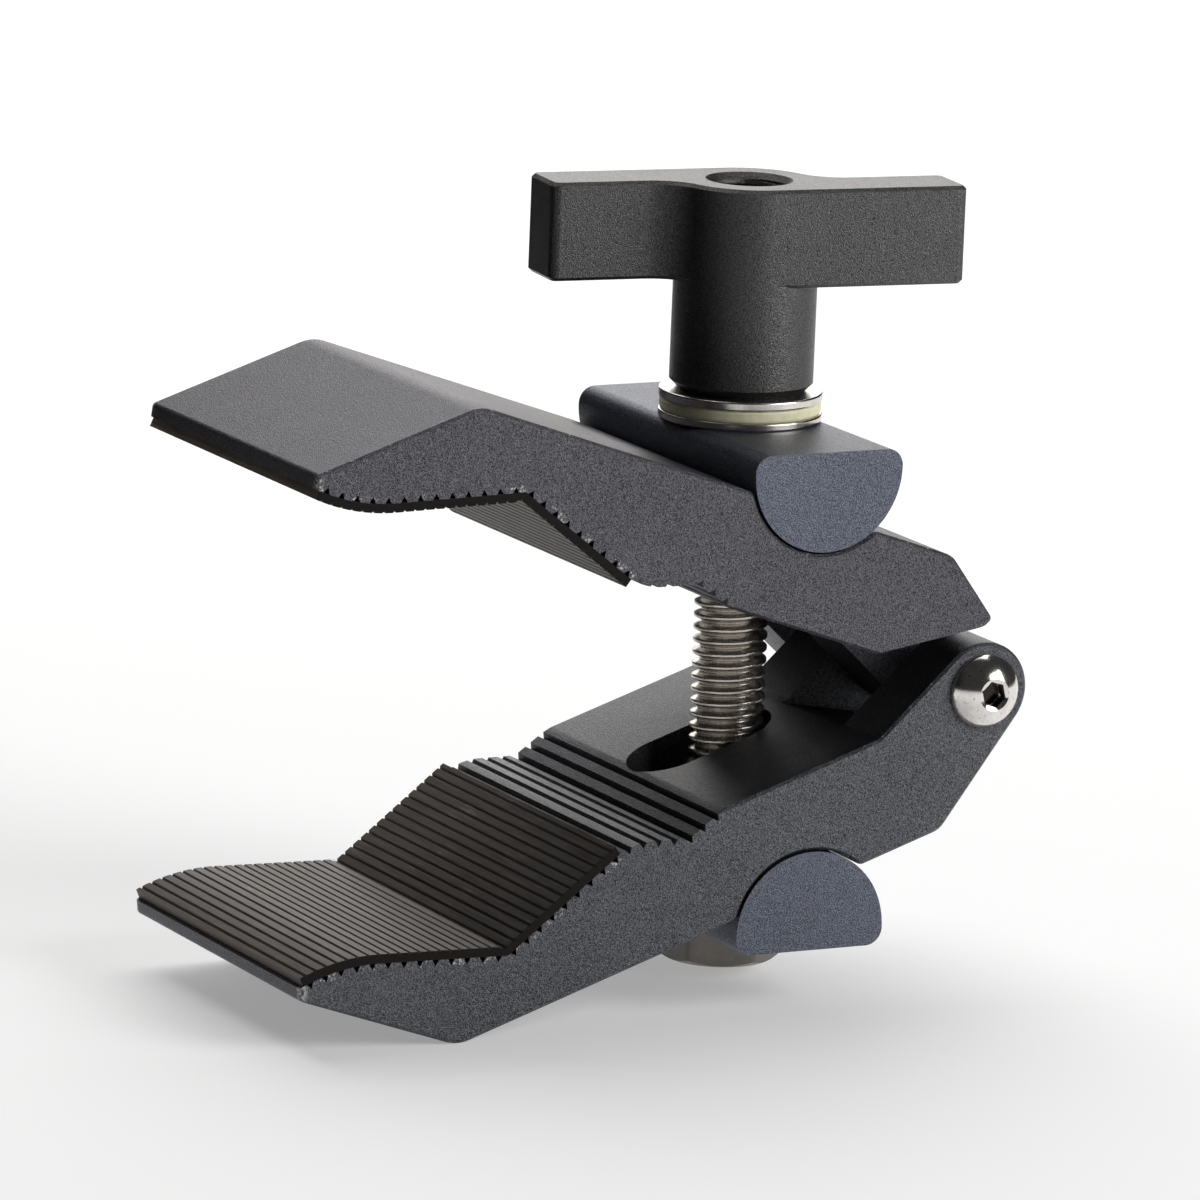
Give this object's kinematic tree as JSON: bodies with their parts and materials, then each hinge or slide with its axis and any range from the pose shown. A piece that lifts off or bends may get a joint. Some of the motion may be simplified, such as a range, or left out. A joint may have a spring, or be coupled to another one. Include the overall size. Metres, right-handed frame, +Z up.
{
  "type": "camera tube clamp",
  "caption": "Hinged two-jaw clamp that grips a round tube between ribbed rubber pads, drawn shut by a bolt and a tee handle.",
  "frame": {"origin": "on the axis of the clamped tube, midway between the jaws and midway across them", "axes": "+X from the open mouth to the hinge, +Y across the jaws along the tube, +Z up along the bolt towards the tee handle"},
  "size_m": [0.0997, 0.0508, 0.1014],
  "materials": {
    "anodised_aluminium": "dark grey anodised over bead blasting",
    "black_aluminium": "black anodised, satin",
    "ribbed_rubber": "matt black, ribbed",
    "stainless_steel": "plain stainless",
    "cream_nylon": "natural nylon"
  },
  "bodies": {
    "lower_jaw": {"lower_jaw": "anodised_aluminium", "lower_jaw_pad": "ribbed_rubber", "hinge_screw": "stainless_steel"},
    "upper_jaw": {"upper_jaw": "anodised_aluminium", "upper_jaw_pad": "ribbed_rubber"},
    "lower_block": {"lower_pivot_block": "anodised_aluminium", "clamp_bolt": "stainless_steel"},
    "upper_block": {"upper_pivot_block": "anodised_aluminium", "lower_steel_washer": "stainless_steel", "nylon_washer": "cream_nylon", "upper_steel_washer": "stainless_steel"},
    "handle": {"t_handle": "black_aluminium"}
  },
  "joints": [
    {"name": "jaw_hinge", "type": "hinge", "parent": "lower_jaw", "child": "upper_jaw", "pos_m": [0.0654, 0, 0], "axis": [0, 1, 0], "range_deg": [-33, 4]},
    {"name": "lower_block_pivot", "type": "hinge", "parent": "lower_jaw", "child": "lower_block", "pos_m": [0.042, 0, -0.0293], "axis": [0, 1, 0], "range_deg": [-16.5, 2]},
    {"name": "upper_block_pivot", "type": "hinge", "parent": "upper_jaw", "child": "upper_block", "pos_m": [0.042, 0, 0.0293], "axis": [0, 1, 0], "range_deg": [-2, 16.5]},
    {"name": "handle_turn", "type": "hinge", "parent": "upper_block", "child": "handle", "pos_m": [0.042, 0, 0.0353], "axis": [0, 0, 1], "range_deg": [-3550, 425]}
  ],
  "couplings": [
    {"joint": "jaw_hinge", "follows": "handle_turn", "ratio": 0.00927},
    {"joint": "lower_block_pivot", "follows": "handle_turn", "ratio": 0.004635},
    {"joint": "upper_block_pivot", "follows": "handle_turn", "ratio": -0.004635}
  ]
}
